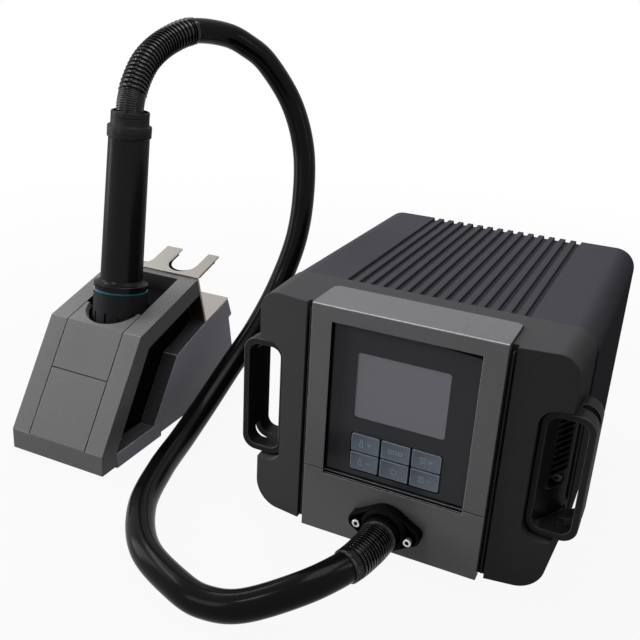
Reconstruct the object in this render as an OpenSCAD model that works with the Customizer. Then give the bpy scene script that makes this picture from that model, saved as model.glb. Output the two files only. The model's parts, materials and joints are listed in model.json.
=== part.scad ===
// Hot air rework station: blower station, air hose and handpiece in its stand.
// Millimetres. Z is up, z = 0 is the bench, the front faces -Y.

/* [Station] */
// Width of the housing over its flat sides
housing_w = 200.6; // [199:0.1:203]
// How far the bezel's front edge stands in from the housing's side
bezel_in = 3.7; // [2.5:0.1:5]
// Height of the housing top above the bench
housing_top = 162.5; // [160:0.5:165]
// Depth of the station from centre panel to rear edge
housing_back = 233; // [225:1:240]
// Depth of the front bezel casting
bezel_d = 51.5; // [48:0.5:54]
// Number of grooves along the housing top
groove_n = 15; // [9:2:15]
// Spacing of the grooves
groove_pitch = 8.17; // [7:0.1:8.2]
// Width of one groove
groove_w = 3.8; // [2:0.1:4.5]
// Angle at which the cheeks sweep back
cheek_sweep = 8.3; // [6:0.1:9]

/* [Front panel] */
// Width of the raised centre panel
panel_w = 117.5; // [112:0.5:118]
// Height of the line between its upper and lower part
panel_split = 53.6; // [52:0.1:55]
// Width of the display opening
opening_w = 91; // [88:0.5:92]
// Width of one key cap
key_w = 18.5; // [16:0.1:18.7]
// Height of one key cap
key_h = 12.1; // [10:0.1:12.4]

/* [Hose] */
// Outer diameter of the air hose
hose_d = 19; // [16:0.5:20]
// Number of sides of the hose tube
hose_sides = 12; // [8:1:12]
// Ribs on the boot at the station
station_ribs = 13; // [8:1:16]
// Ribs on the boot at the handpiece
handle_ribs = 24; // [14:1:26]

/* [Stand and handpiece] */
// Half of the stand's width
stand_hw = 41.5; // [40:0.5:43]
// Half of the width between the two side bands
core_hw = 26; // [25:0.5:26]
// Lean of the handpiece from upright
tilt = 8.3; // [7:0.1:9]
// Outer radius of the slotted sleeve
sleeve_r = 20.3; // [19.5:0.1:20.4]

/* [Hidden] */
$fn = 48;
e = 0.01;
station_at = [91.6, -110, 0];
stand_x = -252;
hand_x = -251.7;
hand_y = 61.5;
hand_z = 73.7;
gland_z = 28.1;
gland_screw_x = 17.4;
rocker_tilt = 7;
hose_r = hose_d / 2;
bezel_w = housing_w - 2 * bezel_in;
tray_x = bezel_w / 2 - 96.6;
foot_x = housing_w / 2 - 25.3;
block_x = housing_w / 2 - 10.3;
cheek_x = panel_w / 2 + 4.15;
grey = "#5c5b5c";
front_grey = "#6a696a";
dark = "#333335";
black = "#1c1c1e";
steel = "#c8c6c2";

// Route of the air hose, from the flange on the station to the handpiece top
route = [
  [0, -4.5, 28.1], [0, -17, 28.1], [-1, -32, 29], [-6, -51, 28.5], [-21, -74, 25], [-48, -92, 15],
  [-70, -96, 10.5], [-92, -92, 10], [-130, -73, 10], [-158, -38, 10], [-174, 5, 10],
  [-184, 48, 11], [-189, 88, 20], [-189, 124, 37], [-184, 158, 61], [-180, 190, 91],
  [-176, 213, 128], [-177, 226, 166], [-184, 236, 204], [-197, 236, 240],
  [-213, 221, 272], [-225, 207, 286], [-236, 192, 294], [-247, 162, 297], [-255, 138, 289.5],
  [-256, 114, 278], [-255, 98, 263], [-253, 88, 248], [-251.7, 85, 236], [-251.7, 84.6, 232]
];
boot_a_end = 3;
boot_b_start = 23;
last = len(route) - 1;

function knot(i) = i < 0 ? 2 * route[0] - route[1]
  : i > last ? 2 * route[last] - route[last - 1] : route[i];
function at(t) = let (i = min(floor(t), last - 1), f = t - i,
    a = knot(i - 1), b = knot(i), c = knot(i + 1), d = knot(i + 2))
  0.5 * (2 * b + (c - a) * f + (2 * a - 5 * b + 4 * c - d) * f * f + (3 * b - 3 * c + d - a) * f * f * f);
function heading(t) = let (i = min(floor(t), last - 1), f = t - i,
    a = knot(i - 1), b = knot(i), c = knot(i + 1), d = knot(i + 2),
    v = (c - a) + 2 * (2 * a - 5 * b + 4 * c - d) * f + 3 * (3 * b - 3 * c + d - a) * f * f)
  v / norm(v);
function side_of(t) = let (s = cross(heading(t), [0.7, 0, 0.7])) s / norm(s);
function ring(t, r, n) = let (p = at(t), h = heading(t), s = side_of(t), u = cross(h, s))
  [for (k = [0:n - 1]) p + r * (cos(360 * k / n) * s + sin(360 * k / n) * u)];

// Closed tube through rings at the stations ts with the radii rs
module sweep(ts, rs, n) {
  m = len(ts);
  pts = [for (k = [0:m - 1]) each ring(ts[k], rs[k], n)];
  faces = concat(
    [[for (j = [0:n - 1]) j]],
    [for (k = [0:m - 2], j = [0:n - 1]) [k * n + j, (k + 1) * n + j, k * n + (j + 1) % n]],
    [for (k = [0:m - 2], j = [0:n - 1])
      [k * n + (j + 1) % n, (k + 1) * n + j, (k + 1) * n + (j + 1) % n]],
    [[for (j = [n - 1:-1:0]) (m - 1) * n + j]]);
  polyhedron(points = pts, faces = faces, convexity = 6);
}

module both() { children(); mirror([1, 0, 0]) children(); }

module along_y(y0, y1) translate([0, y1, 0]) rotate([90, 0, 0]) linear_extrude(y1 - y0) children();

module along_x(x0, x1) translate([x0, 0, 0]) rotate([90, 0, 90]) linear_extrude(x1 - x0) children();

// Box outline in X and Z with one radius at the top corners and one at the bottom corners
module body_outline(w, z0, z1, rt, rb) {
  h = w / 2;
  polygon([[-h + rb, z0], [h - rb, z0], [h, z0 + rb], [h, z1 - rt], [h - rt, z1], [rt - h, z1],
    [-h, z1 - rt], [-h, z0 + rb]]);
  both() {
    translate([h - rt, z1 - rt]) circle(rt, $fn = 64);
    translate([h - rb, z0 + rb]) circle(rb, $fn = 64);
  }
}

// Rectangle from x0 to x1 and z0 to z1 with one corner radius
module soft_rect(x0, x1, z0, z1, r) {
  translate([x0 + r, z0]) square([x1 - x0 - 2 * r, z1 - z0]);
  translate([x0, z0 + r]) square([x1 - x0, z1 - z0 - 2 * r]);
  for (x = [x0 + r, x1 - r], z = [z0 + r, z1 - r]) translate([x, z]) circle(r);
}

module at_station() translate(station_at) children();
module at_stand() translate(station_at + [stand_x, 0, 0]) children();
module at_hand() translate(station_at + [hand_x, hand_y, hand_z]) rotate([-tilt, 0, 0]) children();

// Socket cap screw with its head at y = 0 to -len_head and its shank towards +Y
module cap_screw(x, z, r_head, len_head, r_shank, len_shank) translate([x, 0, z]) rotate([90, 0, 0]) {
  difference() {
    cylinder(r = r_head, h = len_head, $fn = 32);
    translate([0, 0, len_head - 1.6]) cylinder(r = r_head * 0.5, h = 2, $fn = 6);
  }
  translate([0, 0, -len_shank]) cylinder(r = r_shank, h = len_shank + e, $fn = 24);
}

/* Station housing and chassis */

module housing() color(dark) at_station() {
  top = housing_top;
  difference() {
    along_y(bezel_d + 0.3, housing_back) body_outline(housing_w, 9.8, top, 15, 18);
    along_y(bezel_d - 1, housing_back + 1) body_outline(housing_w - 6, 12.8, top - 5.5, 12, 15);
    for (i = [0:groove_n - 1])
      translate([(i - (groove_n - 1) / 2) * groove_pitch - groove_w / 2, bezel_d - 1, top - 2.2])
        cube([groove_w, 300, 5]);
    for (x = [-foot_x, foot_x]) translate([x, 205, 5]) cylinder(r = 1.6, h = 12);
  }
  // Corner blocks that carry the rear panel
  for (x = [-block_x, block_x], z = [24, 146]) difference() {
    translate([x > 0 ? x - 6 : x - 7.6, housing_back - 14, z - 6]) cube([13.6, 10, 12]);
    translate([x, housing_back - 15, z]) rotate([-90, 0, 0]) cylinder(r = 1.6, h = 20);
  }
}

module base_tray() color("#8f9093") at_station() difference() {
  union() {
    translate([-foot_x - 5, 56, 12.8]) cube([2 * foot_x + 10, housing_back - 61, 1.5]);
    for (x = [-foot_x - 5, foot_x + 3.5]) translate([x, 56, 12.8]) cube([1.5, housing_back - 61, 9]);
  }
  for (x = [-foot_x, foot_x]) translate([x, 205, 5]) cylinder(r = 1.6, h = 12);
}

module feet() color(black) at_station() for (x = [-foot_x, foot_x], y = [30, 205]) translate([x, y, 0])
  difference() {
    cylinder(r1 = 8.5, r2 = 9.5, h = 9.8);
    translate([0, 0, -1]) cylinder(r = 1.7, h = 12);
    translate([0, 0, -1]) cylinder(r = 3.4, h = 4.8);
  }

module foot_screws() color(steel) at_station() for (x = [-foot_x, foot_x], y = [30, 205]) translate([x, y, 0]) {
  translate([0, 0, 1.4]) difference() {
    cylinder(r = 2.9, h = 2.4, $fn = 32);
    translate([-2, -0.4, -0.1]) cube([4, 0.8, 0.9]);
    translate([-0.4, -2, -0.1]) cube([0.8, 4, 0.9]);
  }
  translate([0, 0, 3.79]) cylinder(r = 1.5, h = 9, $fn = 24);
}

/* Front bezel with swept cheeks and pockets for the handles */

module front_bezel() color("#3a3a3c") at_station() {
  rear_w = housing_w - 2;
  difference() {
    translate([0, bezel_d, 0]) rotate([90, 0, 0])
      linear_extrude(bezel_d - 2.1, scale = [bezel_w / rear_w, 1], slices = 1)
        body_outline(rear_w, 9.8, housing_top + 0.4, 13, 17);
    both() translate([cheek_x, 2.1, -1]) rotate([0, 0, cheek_sweep]) translate([0, -30, 0])
      cube([60, 30, 200]);
    translate([-cheek_x, -1, -1]) cube([2 * cheek_x, 7.2, 200]);
    translate([-panel_w / 2 - 0.3, -1, housing_top - 1.3]) cube([panel_w + 0.6, 35.4, 10]);
    translate([-45.4, 0, 54]) cube([90.8, 20, 100.4]);
    along_y(9.6, bezel_d + 1) body_outline(bezel_w - 40.2, 14.5, housing_top - 5.5, 8, 8);
    both() translate([tray_x, 0, 0]) {
      translate([76, 14, 132]) cube([18, 40, 20]);
      translate([76, 14, 21]) cube([16, 40, 20]);
      along_y(-1, 40) soft_rect(79.4, 130, 44.2, 129.1, 10);
      along_y(39, 46) soft_rect(97, 130, 49.8, 123.6, 6);
      translate([91.5, 38, 74.1]) rotate([-90, 0, 0]) cylinder(r = 1.6, h = 9);
      translate([88, 38, 112]) rotate([-90, 0, 0]) cylinder(r = 1.6, h = 20);
    }
    translate([0, -1, gland_z]) rotate([-90, 0, 0]) cylinder(r = 9, h = 20);
    for (x = [-gland_screw_x, gland_screw_x]) translate([x, 5, gland_z]) rotate([-90, 0, 0]) cylinder(r = 1.55, h = 10);
    for (x = [-foot_x, foot_x]) translate([x, 30, 5]) cylinder(r = 1.6, h = 8.9);
  }
  // Thin ridge in the groove beside the centre panel
  both() translate([cheek_x - 2.6, 3, 12]) cube([1.2, 3.4, 147]);
  // Posts for the control board
  for (x = [-49.5, 49.5], z = [60, 148]) translate([x, 9.5, z]) rotate([-90, 0, 0])
    cylinder(r = 2.5, h = 2.5);
}

module centre_panel_upper() color(front_grey) at_station() {
  h = panel_w / 2;
  difference() {
    union() {
      translate([-h, 0, panel_split + 0.3]) cube([panel_w, 3, housing_top + 1.6 - panel_split]);
      translate([-h, 0, housing_top - 1.3]) cube([panel_w, 34.2, 3.2]);
      both() translate([h - 3, 0, panel_split + 0.3]) cube([3, 6.2, housing_top - 1.9 - panel_split]);
    }
    translate([-opening_w / 2, -1, 40]) cube([opening_w, 5, 114.3]);
    // Narrow chamfers along the front and top edge and the rear corners
    translate([0, 0, housing_top + 1.9]) rotate([45, 0, 0]) cube([200, 1, 1], center = true);
    both() translate([h, 34.2, 160]) rotate([0, 0, 45]) cube([4, 4, 20], center = true);
  }
}

module centre_panel_lower() color(grey) at_station() {
  h = panel_w / 2;
  difference() {
    union() {
      translate([-h, 0, 8]) cube([panel_w, 3, panel_split - 8.3]);
      both() translate([h - 3, 0, 8]) cube([3, 6.2, panel_split - 8.3]);
      translate([-h, 0, 8]) cube([panel_w, 6.2, 1.7]);
    }
    translate([-opening_w / 2, -1, panel_split - 2.6]) cube([opening_w, 2.6, 10]);
    translate([0, -1, gland_z]) rotate([-90, 0, 0]) cylinder(r = 9, h = 10);
    for (x = [-gland_screw_x, gland_screw_x]) translate([x, -1, gland_z]) rotate([-90, 0, 0]) cylinder(r = 1.6, h = 10);
  }
}

/* Handle trays */

module tray(side) at_station() mirror([side > 0 ? 0 : 1, 0, 0]) translate([tray_x, 0, 0]) difference() {
  union() {
    // Hoop from the pocket round to the outside
    along_y(10.6, 40) difference() {
      soft_rect(80.2, 110.3, 46, 127.1, 9.5);
      soft_rect(83.7, 106.2, 50.2, 123.2, 6.5);
    }
    // Slanting wall of the finger pocket
    intersection() {
      along_y(10.6, 40) soft_rect(80.2, 110.3, 46, 127.1, 9.5);
      translate([0, 0, 46]) linear_extrude(82)
        polygon([[80, 10], [83.7, 10.6], [87.6, 19.4], [97.6, 38.6], [97.6, 40.5], [80, 40.5]]);
    }
  }
  // Grooves that leave the finger ribs standing
  for (i = [0:9]) translate([0, 0, 79.7 + 4.27 * i]) linear_extrude(3)
    polygon([[89.6, 21.5], [86.7, 22.8], [93.9, 36.6], [97, 35.2]]);
  // Slots across the outer corners
  for (c = [[106.3, 123.1, 45], [106.3, 50, -45]]) translate([c[0], 25, c[1]]) rotate([0, c[2], 0]) {
    cube([9.6, 6.4, 12], center = true);
    for (x = [-4.8, 4.8]) translate([x, 0, 0]) cylinder(r = 3.2, h = 12, center = true);
  }
  translate([91.5, 15, 74.1]) rotate([-90, 0, 0]) cylinder(r = 1.7, h = 30);
  translate([91.5, 15, 74.1]) rotate([-90, 0, 0]) cylinder(r = 4.3, h = 19);
  translate([88, bezel_d - 15.5, 112]) rotate([-90, 0, 0]) cylinder(r = 1.55, h = 10);
}

module handle_left() color("#2a2a2c") tray(-1);
module handle_right() color("#2a2a2c") tray(1);

module handle_screws() color(steel) at_station() both() {
  translate([tray_x, 34, 0]) cap_screw(91.5, 74.1, 2.8, 2.6, 1.5, 12);
  translate([tray_x, bezel_d, 0]) mirror([0, 1, 0]) cap_screw(88, 112, 2.8, 2.6, 1.5, 15);
}

/* Display and keys */

module display_glass() color("#34343a") at_station() difference() {
  translate([-47.5, 3, 51.5]) cube([95, 1.6, 106]);
  translate([-29.4, 2, 57.9]) cube([58.8, 4, 26.6]);
  translate([-28.9, 2, 94.8]) cube([57.8, 4, 43]);
}

module display_module() color("#5f5e66") at_station() {
  translate([-28.8, 3.3, 94.9]) cube([57.6, 1.4, 42.8]);
  translate([-33, 4.6, 90]) cube([66, 4, 53]);
  for (x = [-30, 30], z = [93, 140]) translate([x, 8.5, z]) rotate([-90, 0, 0]) cylinder(r = 1.5, h = 3.5);
}

module key_cap(col, row) color("#4a4f5b") at_station()
  translate([col * 19.7, 0, 64.7 + row * 13.1]) {
    translate([-key_w / 2, 2.7, -key_h / 2]) cube([key_w, 2.6, key_h]);
    translate([-2, 5.2, -2]) cube([4, 5, 4]);
  }

module key_temp_up() key_cap(-1, 1);
module key_channel() key_cap(0, 1);
module key_flow_up() key_cap(1, 1);
module key_temp_down() key_cap(-1, 0);
module key_power() key_cap(0, 0);
module key_flow_down() key_cap(1, 0);

module control_board() color("#1f5a3a") at_station() {
  difference() {
    translate([-54, 12, 50]) cube([108, 1.6, 106]);
    for (x = [-49.5, 49.5], z = [60, 148]) translate([x, 11, z]) rotate([-90, 0, 0])
      cylinder(r = 1.6, h = 4);
  }
  translate([-20, 13.5, 100]) cube([28, 2, 28]);
  translate([-45, 13.5, 118]) cube([10, 8, 24]);
  translate([30, 13.5, 70]) cube([16, 6, 12]);
}

module tact_switches() color("#c9c9c9") at_station()
  for (c = [-1:1], r = [0, 1]) translate([c * 19.7, 12, 64.7 + 13.1 * r]) {
    translate([-3, -1, -3]) cube([6, 1, 6]);
    rotate([90, 0, 0]) cylinder(r = 1.5, h = 1.3, $fn = 24);
  }

module board_screws() color(steel) at_station() for (x = [-49.5, 49.5], z = [60, 148])
  translate([x, 13.6, z]) rotate([-90, 0, 0]) {
    cylinder(r = 2.6, h = 1.8, $fn = 24);
    translate([0, 0, -1.5]) cylinder(r = 1.5, h = 1.6, $fn = 24);
  }

/* Hose flange, boots and hose */

module hose_flange() color(black) at_station() difference() {
  union() {
    translate([0, 0, gland_z]) along_y(-7, 0) {
      for (x = [-gland_screw_x, gland_screw_x]) translate([x, 0]) circle(6.2);
      polygon([[-19.2, -5.9], [-7, -13.5], [7, -13.5], [19.2, -5.9], [19.2, 5.9], [7, 13.5], [-7, 13.5],
        [-19.2, 5.9]]);
    }
    translate([0, 0, gland_z]) rotate([90, 0, 0])
      turned([[0, 0], [15.2, 0], [14.9, 5], [13.5, 9], [12.9, 9.6], [0, 9.6]]);
    translate([0, -1, gland_z]) rotate([-90, 0, 0]) cylinder(r = 8.8, h = 17);
  }
  translate([0, -12, gland_z]) rotate([-90, 0, 0]) cylinder(r = 7, h = 30);
  translate([0, -12, gland_z]) rotate([-90, 0, 0]) cylinder(r = hose_r + 2.8, h = 7.5);
  for (x = [-gland_screw_x, gland_screw_x]) translate([x, -8, gland_z]) rotate([-90, 0, 0]) {
    cylinder(r = 1.6, h = 10);
    cylinder(r = 3.5, h = 1.8);
  }
}

// The right screw stands 3 mm proud of its seat
module flange_screws() color(steel) at_station() {
  translate([0, -6.2, 0]) cap_screw(-gland_screw_x, gland_z, 2.75, 3, 1.5, 16);
  translate([0, -9.4, 0]) cap_screw(gland_screw_x, gland_z, 2.75, 3, 1.5, 16);
}

// Ribbed boot along the route from t0 to t1, its radius going from r0 to r1
module boot(t0, t1, ribs, r0, r1, cuff0, cuff1, n) {
  u = (t1 - t0 - cuff0 - cuff1) / ribs;
  ts = concat([t0, t0 + cuff0 - 0.02],
    [for (i = [0:ribs - 1], q = [0, 0.3, 0.55]) t0 + cuff0 + u * (i + q)], [t1 - cuff1, t1]);
  deep = concat([0, 0], [for (i = [0:ribs - 1], q = [0, 0.3, 0.55]) q == 0.3 ? 0 : 1.1], [0, 0]);
  sweep(ts, [for (k = [0:len(ts) - 1]) r0 + (r1 - r0) * (ts[k] - t0) / (t1 - t0) - deep[k]], n);
}

module hose_boot_station() color(black) at_station()
  boot(0, boot_a_end, station_ribs, hose_r + 2.1, hose_r + 1.1, 1.05, 0.24, 20);

module hose_boot_handle() {
  color(black) at_station() boot(boot_b_start, last, handle_ribs, hose_r + 0.9, hose_r + 1.2, 0.14, 0.4, 20);
  color(black) at_hand() translate([0, 0, 159.05]) cylinder(r = 12, h = 4.5);
}

// The last ring stops just short of the moving boot
module hose() color("#202022") at_station() sweep(
  [for (k = [0:2 * (boot_b_start - boot_a_end)]) min(boot_a_end + k / 2, boot_b_start - 0.01)],
  [for (k = [0:2 * (boot_b_start - boot_a_end)]) hose_r], hose_sides);

/* Rear of the station */

module rear_panel() color(dark) at_station() difference() {
  y = housing_back - 4;
  along_y(y, y + 2) body_outline(housing_w - 6.2, 13.1, housing_top - 5.8, 11.7, 14.7);
  for (x = [-block_x, block_x], z = [24, 146]) translate([x, y - 1, z]) rotate([-90, 0, 0]) cylinder(r = 1.6, h = 5);
  translate([-73.8, y - 1, 34.1]) cube([27.6, 5, 27.8]);
  translate([-70.2, y - 1, 86.9]) cube([20.4, 5, 28.2]);
  for (i = [0:9]) translate([8, y - 1, 52 + 7 * i]) cube([62, 5, 3.4]);
}

module rear_screws() color(steel) at_station() translate([0, housing_back - 2, 0]) mirror([0, 1, 0])
  for (x = [-block_x, block_x], z = [24, 146]) cap_screw(x, z, 2.8, 2, 1.5, 10);

module air_filter() color("#4b4b4d") at_station() translate([2, housing_back - 12, 46])
  cube([74, 8, 80]);

module mains_inlet() color(black) at_station() {
  y = housing_back - 2;
  difference() {
    union() {
      translate([-76, y, 32]) cube([32, 2, 32]);
      translate([-73.7, y - 18, 34.2]) cube([27.4, 18.1, 27.6]);
    }
    translate([-72, y - 12, 35.6]) cube([24, 20, 15]);
    translate([-71.1, y - 14, 53]) cube([22.2, 20, 7.2]);
  }
  for (p = [[-60, 46], [-66, 40], [-54, 40]]) translate([p[0] - 1, y - 12.1, p[1] - 2]) cube([2, 9, 4]);
}

module fuse_drawer() color("#262628") at_station() difference() {
  y = housing_back - 2;
  union() {
    translate([-71, y - 13.9, 53.1]) cube([22, 15, 7]);
    translate([-71, y + 1, 53.1]) cube([22, 2, 7]);
  }
  translate([-68, y - 12, 54.6]) cube([16, 10, 9]);
}

module switch_frame() color(black) at_station() difference() {
  y = housing_back - 2;
  union() {
    translate([-71.5, y, 84.5]) cube([23, 2, 33]);
    translate([-70, y - 14, 87]) cube([20, 14.1, 28]);
  }
  translate([-67.5, y - 11.5, 89.5]) cube([15, 20, 23]);
  translate([-70.5, y - 4, 101]) rotate([0, 90, 0]) cylinder(r = 1.55, h = 21, $fn = 24);
}

// Pressed in at its lower end
module power_rocker() color("#7c1b1b") at_station()
  translate([-67.2, housing_back - 6, 101]) rotate([-rocker_tilt, 0, 0]) {
    along_x(0, 14.4) polygon([[-4, -4], [-4, 4], [1.5, 10.2], [6.2, 10.2], [5, 0], [6.2, -10.2], [1.5, -10.2]]);
    translate([-2.3, 0, 0]) rotate([0, 90, 0]) cylinder(r = 1.5, h = 19, $fn = 24);
  }

/* Inside the station */

module blower_volute() color("#2f3033") at_station() difference() {
  union() {
    translate([33, 150, 14.3]) cylinder(r = 45, h = 28, $fn = 72);
    translate([-12, 96, 14.3]) cube([30, 54, 28]);
    translate([0, 88, gland_z]) rotate([-90, 0, 0]) cylinder(r = 8.8, h = 9);
  }
  translate([33, 150, 16.5]) cylinder(r = 42, h = 23.6, $fn = 72);
  translate([33, 150, 30]) cylinder(r = 24, h = 20);
  translate([0, 80, gland_z]) rotate([-90, 0, 0]) cylinder(r = 7, h = 70);
  for (a = [0:120:240]) translate([33, 150, 0]) rotate([0, 0, a]) translate([28, 0, 39])
    cylinder(r = 1.55, h = 8);
}

module blower_impeller() color("#c9ccd0") at_station() translate([33, 150, 0]) difference() {
  union() {
    translate([0, 0, 18.3]) cylinder(r = 37, h = 2, $fn = 72);
    translate([0, 0, 20.2]) cylinder(r = 7, h = 12);
    for (a = [0:30:330]) rotate([0, 0, a]) translate([14, -0.6, 20.2]) rotate([0, 0, 18])
      cube([21, 1.2, 16]);
  }
  translate([0, 0, 17]) cylinder(r = 2.54, h = 20);
}

module blower_motor() color("#8b8e92") at_station() translate([33, 150, 0]) {
  difference() {
    translate([0, 0, 42.3]) cylinder(r = 32, h = 2, $fn = 64);
    for (a = [0:120:240]) rotate([0, 0, a]) translate([28, 0, 40]) cylinder(r = 1.6, h = 6);
    for (a = [30:60:330]) rotate([0, 0, a]) translate([20.5, 0, 40]) cylinder(r = 3, h = 6);
  }
  translate([0, 0, 44.2]) cylinder(r = 16.5, h = 38, $fn = 64);
  translate([0, 0, 82]) cylinder(r = 6, h = 4);
  translate([0, 0, 18]) cylinder(r = 2.5, h = 25, $fn = 32);
}

module air_duct() color("#59595c") at_station() difference() {
  translate([0, 11, gland_z]) rotate([-90, 0, 0]) cylinder(r = 11, h = 83);
  translate([0, 10, gland_z]) rotate([-90, 0, 0]) cylinder(r = 8.85, h = 90);
}

// Beside the left rail of the base tray
module at_rail() translate([75 - foot_x, 0, 0]) children();

module power_board() color("#2b6a45") at_station() at_rail() {
  difference() {
    translate([-77, 66, 24]) cube([58, 132, 1.6]);
    for (x = [-72, -24], y = [72, 192]) translate([x, y, 22]) cylinder(r = 1.6, h = 6);
  }
  for (y = [80, 104]) translate([-62, y, 25.5]) cylinder(r = 10, h = 30);
  translate([-45, 76, 25.5]) cube([20, 26, 24]);
  translate([-70, 172, 25.5]) cube([30, 14, 12]);
}

module board_spacers() color(steel) at_station() at_rail() for (x = [-72, -24], y = [72, 192])
  translate([x, y, 14.3]) { cylinder(r = 3, h = 9.7, $fn = 24); cylinder(r = 1.5, h = 12.5, $fn = 24); }

module heatsink() color("#a9abad") at_station() at_rail() {
  translate([-66, 124, 25.6]) cube([38, 36, 4]);
  for (i = [0:6]) translate([-66 + i * 6, 124, 29.5]) cube([2, 36, 30]);
}

module transformer() color("#7b6a4c") at_station() {
  translate([24, 62, 14.3]) cube([46, 34, 38]);
  translate([30, 56.5, 18]) cube([34, 5.6, 30]);
}

/* Handpiece, in its own axis: z = 0 is the lower edge of the sleeve */

module turned(p) rotate_extrude($fn = 64) polygon(p);

module handpiece_tube() color(black) at_hand()
  turned([[12, 42], [13.9, 42], [13.9, 47.3], [15.85, 47.3], [15, 152.3], [12, 152.3]]);

module handpiece_top_ring() color("#1f1f21") at_hand()
  turned([[10.2, 146.5], [11.9, 146.5], [11.9, 152.3], [15.1, 152.3], [16.1, 153.8], [16.1, 161.6],
    [15.4, 162.3], [14, 162.3], [14, 173.6], [13.4, 174.2], [12.3, 174.2], [12.3, 159], [10.2, 159]]);

module handpiece_collar() color(black) at_hand()
  turned([[14, 39.6], [19.5, 39.6], [19.5, 41.4], [20.3, 41.4], [20.3, 42.2], [19.9, 42.3], [19.9, 42.8],
    [20.5, 42.9], [20.5, 44], [20.1, 44.4], [18.4, 45], [16.9, 46], [16.1, 47.3], [14, 47.3]]);

module accent_ring() color("#1c7f8c") at_hand()
  turned([[16, 38.2], [20.4, 38.2], [20.4, 39.6], [16, 39.6]]);

module handpiece_sleeve() color("#19191b") at_hand() difference() {
  turned([[12.2, 0], [sleeve_r - 0.5, 0], [sleeve_r, 0.8], [sleeve_r, 38.2], [13, 38.2], [13, 36],
    [18.2, 36], [18.2, 2.2], [12.2, 2.2]]);
  for (a = [0:30:330]) rotate([0, 0, a + 5.4]) translate([15, -0.8, 5]) cube([8, 1.6, 18.2]);
}

module air_pipe() color("#6b6b6e") at_hand()
  turned([[9.6, 36], [11.8, 36], [11.8, 146.5], [9.6, 146.5]]);

module heater_tube() color(steel) at_hand() difference() {
  turned([[10.9, -30], [12, -30], [12, 35.9], [10.9, 35.9]]);
  for (a = [0:45:315]) rotate([0, 0, a]) translate([9, -1, 24]) cube([5, 2, 8]);
}

module heater_core() color("#e4ddcf") at_hand() difference() {
  translate([0, 0, -24]) cylinder(r = 10.6, h = 42);
  for (a = [0:60:300]) rotate([0, 0, a]) translate([6.5, 0, -25]) cylinder(r = 2, h = 44);
}

module nozzle() color("#b9b5ad") at_hand()
  turned([[12.05, -26], [13, -26], [13, -31], [6, -44], [6, -54], [5, -54], [5, -43.6], [11.8, -31.4],
    [12.05, -31.1]]);

/* Stand */

function slope_y(z, off) = -13.5 + (z - 17.8) * 0.652 + off / 0.8377;
function top_z(y) = 93.1 + (y - 35.6) * 0.2932;

module stand_shell() color(front_grey) at_stand() {
  // Side bands
  both() along_x(core_hw, stand_hw) polygon([[-14, 2], [-13.5, 17.8], [35.6, 93.1], [110.1, 114.9],
    [112.9, 100.7], [45.1, 80.3], [2.5, 12.3], [2.5, 2]]);
  // Front lip between the bands, and the plate behind the front inserts
  along_x(-core_hw - e, core_hw + e) polygon([[-14, 2], [-13.5, 17.8], [-10.8, 16.05],
    [slope_y(83, 3.2), 83], [slope_y(83, 6.4), 83], [2.5, 18], [2.5, 2]]);
  // Inner walls of the well
  both() along_x(core_hw, 28.5) polygon([[2.4, 12.3], [45.1, 80.2], [113, 100.8],
    [114.1, 100.6], [120.9, 74.6], [112, 71], [112, 12.3]]);
  // Rear wall of the well
  along_x(-core_hw - e, core_hw + e) polygon([[105.3, 113.5], [110.1, 114.9], [120.9, 74.6], [116, 72.6]]);
}

module stand_front_upper() color("#717071") at_stand() difference() {
  along_x(0.4 - core_hw, core_hw - 0.4) polygon([[slope_y(61.8, 0), 61.8], [35.6, 93.1],
    [57.6, top_z(57.6)], [58.5, top_z(57.6) - 3.1], [36.9, 90.1], [slope_y(61.8, 0) + 2.65, 60.07]]);
  translate([0, 60.7, 100]) rotate([16.4, 0, 0])
    turned([[0, -15], [21.4, -15], [21.4, -2.9], [23.1, 0.4], [23.1, 15], [0, 15]]);
}

module stand_front_lower() color("#6b6a6b") at_stand()
  along_x(0.4 - core_hw, core_hw - 0.4) polygon([[-13.5, 17.8], [slope_y(61.2, 0), 61.2],
    [slope_y(61.2, 0) + 2.65, 59.47], [-10.85, 16.1]]);

module stand_block() color("#55545a") at_stand() difference() {
  along_x(-stand_hw, stand_hw) polygon([[48.1, 12.3], [81.1, 60.4], [121.1, 74], [121.5, 72.9],
    [156.85, 83.6], [163.2, 67.8], [158.8, 65.8], [171.8, 3.3], [57.8, 3.3], [57.8, 12.3]]);
  translate([-28.6, 40, 0]) cube([57.2, 72.1, 80]);
  translate([-37, 57, -1]) cube([74, 103, 7.3]);
  translate([-36, 117, 5]) cube([72, 38, 50]);
}

module stand_base() color(grey) at_stand() difference() {
  union() {
    translate([-stand_hw, 2.8, 0]) cube([2 * stand_hw, 54.8, 12.3]);
    translate([-36.8, 57, 3.3]) cube([73.6, 102.8, 3]);
    // Pedestal that carries the heat liner
    difference() {
      translate([-20, 32, 12]) cube([40, 46, 40]);
      translate([0, hand_y, hand_z]) rotate([-tilt, 0, 0]) translate([0, 0, -36])
        cylinder(r = 40, h = 60);
      translate([0, hand_y, hand_z]) rotate([-tilt, 0, 0]) translate([0, 0, -62])
        cylinder(r = 15, h = 60);
    }
  }
  for (x = [-30, 30]) {
    translate([x, 20, -1]) cylinder(r = 1.6, h = 20);
    translate([x, 20, -1]) cylinder(r = 3.2, h = 4);
  }
}

module stand_feet() color(black) at_stand() for (x = [-26, 26]) translate([x, 148, 0])
  cylinder(r = 7, h = 3.3);

// Deck behind the handpiece, below the edge of the well
module well_deck() color(black) at_stand() difference() {
  along_x(0.05 - core_hw, core_hw - 0.05) polygon([[62, 88.3], [105.2, 101], [105.6, 99.6], [62, 86.8]]);
  translate([hand_x - stand_x, hand_y, hand_z]) rotate([-tilt, 0, 0]) cylinder(r = 24, h = 60);
}

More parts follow.
